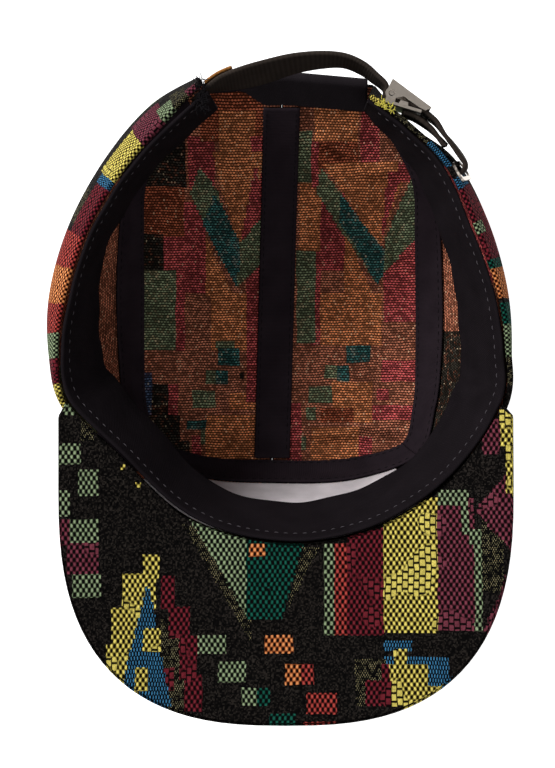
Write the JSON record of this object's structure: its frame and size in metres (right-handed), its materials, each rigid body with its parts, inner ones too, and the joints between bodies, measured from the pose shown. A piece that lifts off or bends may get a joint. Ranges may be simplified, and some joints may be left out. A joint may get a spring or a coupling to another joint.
{
  "type": "five-panel cap",
  "caption": "Five-panel cap with a stiffened peak, inner sweatband, taped seams and an adjustable back strap with a metal flip clasp, lying on its crown.",
  "frame": {"origin": "on the surface that the crown rests on, below the middle of the whole cap", "axes": "the cap lies on its crown with the opening up: +Z out of the opening, -Y towards the peak, +X towards the wearer's right"},
  "size_m": [0.1824, 0.2606, 0.1094],
  "materials": {
    "weave": "heavy patterned weave of many colours on black, with a chunky outer face",
    "backing": "light grey speckled backing cloth",
    "band_cloth": "matt black twill",
    "strap_cloth": "matt warm black woven strap",
    "tab": "smooth brown leather",
    "metal": "plated steel, satin bright"
  },
  "bodies": {
    "cap": {"front_panel": "weave", "front_backing": "backing", "side_panel_left": "weave", "side_panel_right": "weave", "top_panel_left": "weave", "top_panel_right": "weave", "peak": "weave", "sweatband": "band_cloth", "seam_tape_centre": "band_cloth", "seam_tape_left": "band_cloth", "seam_tape_right": "band_cloth", "seam_tape_front": "band_cloth", "seam_tape_front_left": "band_cloth", "seam_tape_front_right": "band_cloth", "back_binding": "band_cloth", "strap": "strap_cloth", "strap_tab": "tab", "clasp_holder": "strap_cloth", "clasp_base": "metal", "clasp_pin": "metal", "slot_rim": "metal"},
    "lever": {"clasp_lever": "metal"}
  },
  "joints": [
    {"name": "clasp_hinge", "type": "hinge", "parent": "cap", "child": "lever", "pos_m": [0.04344, 0.11357, 0.091], "axis": [0, 0, 1], "range_deg": [0, 90]}
  ]
}
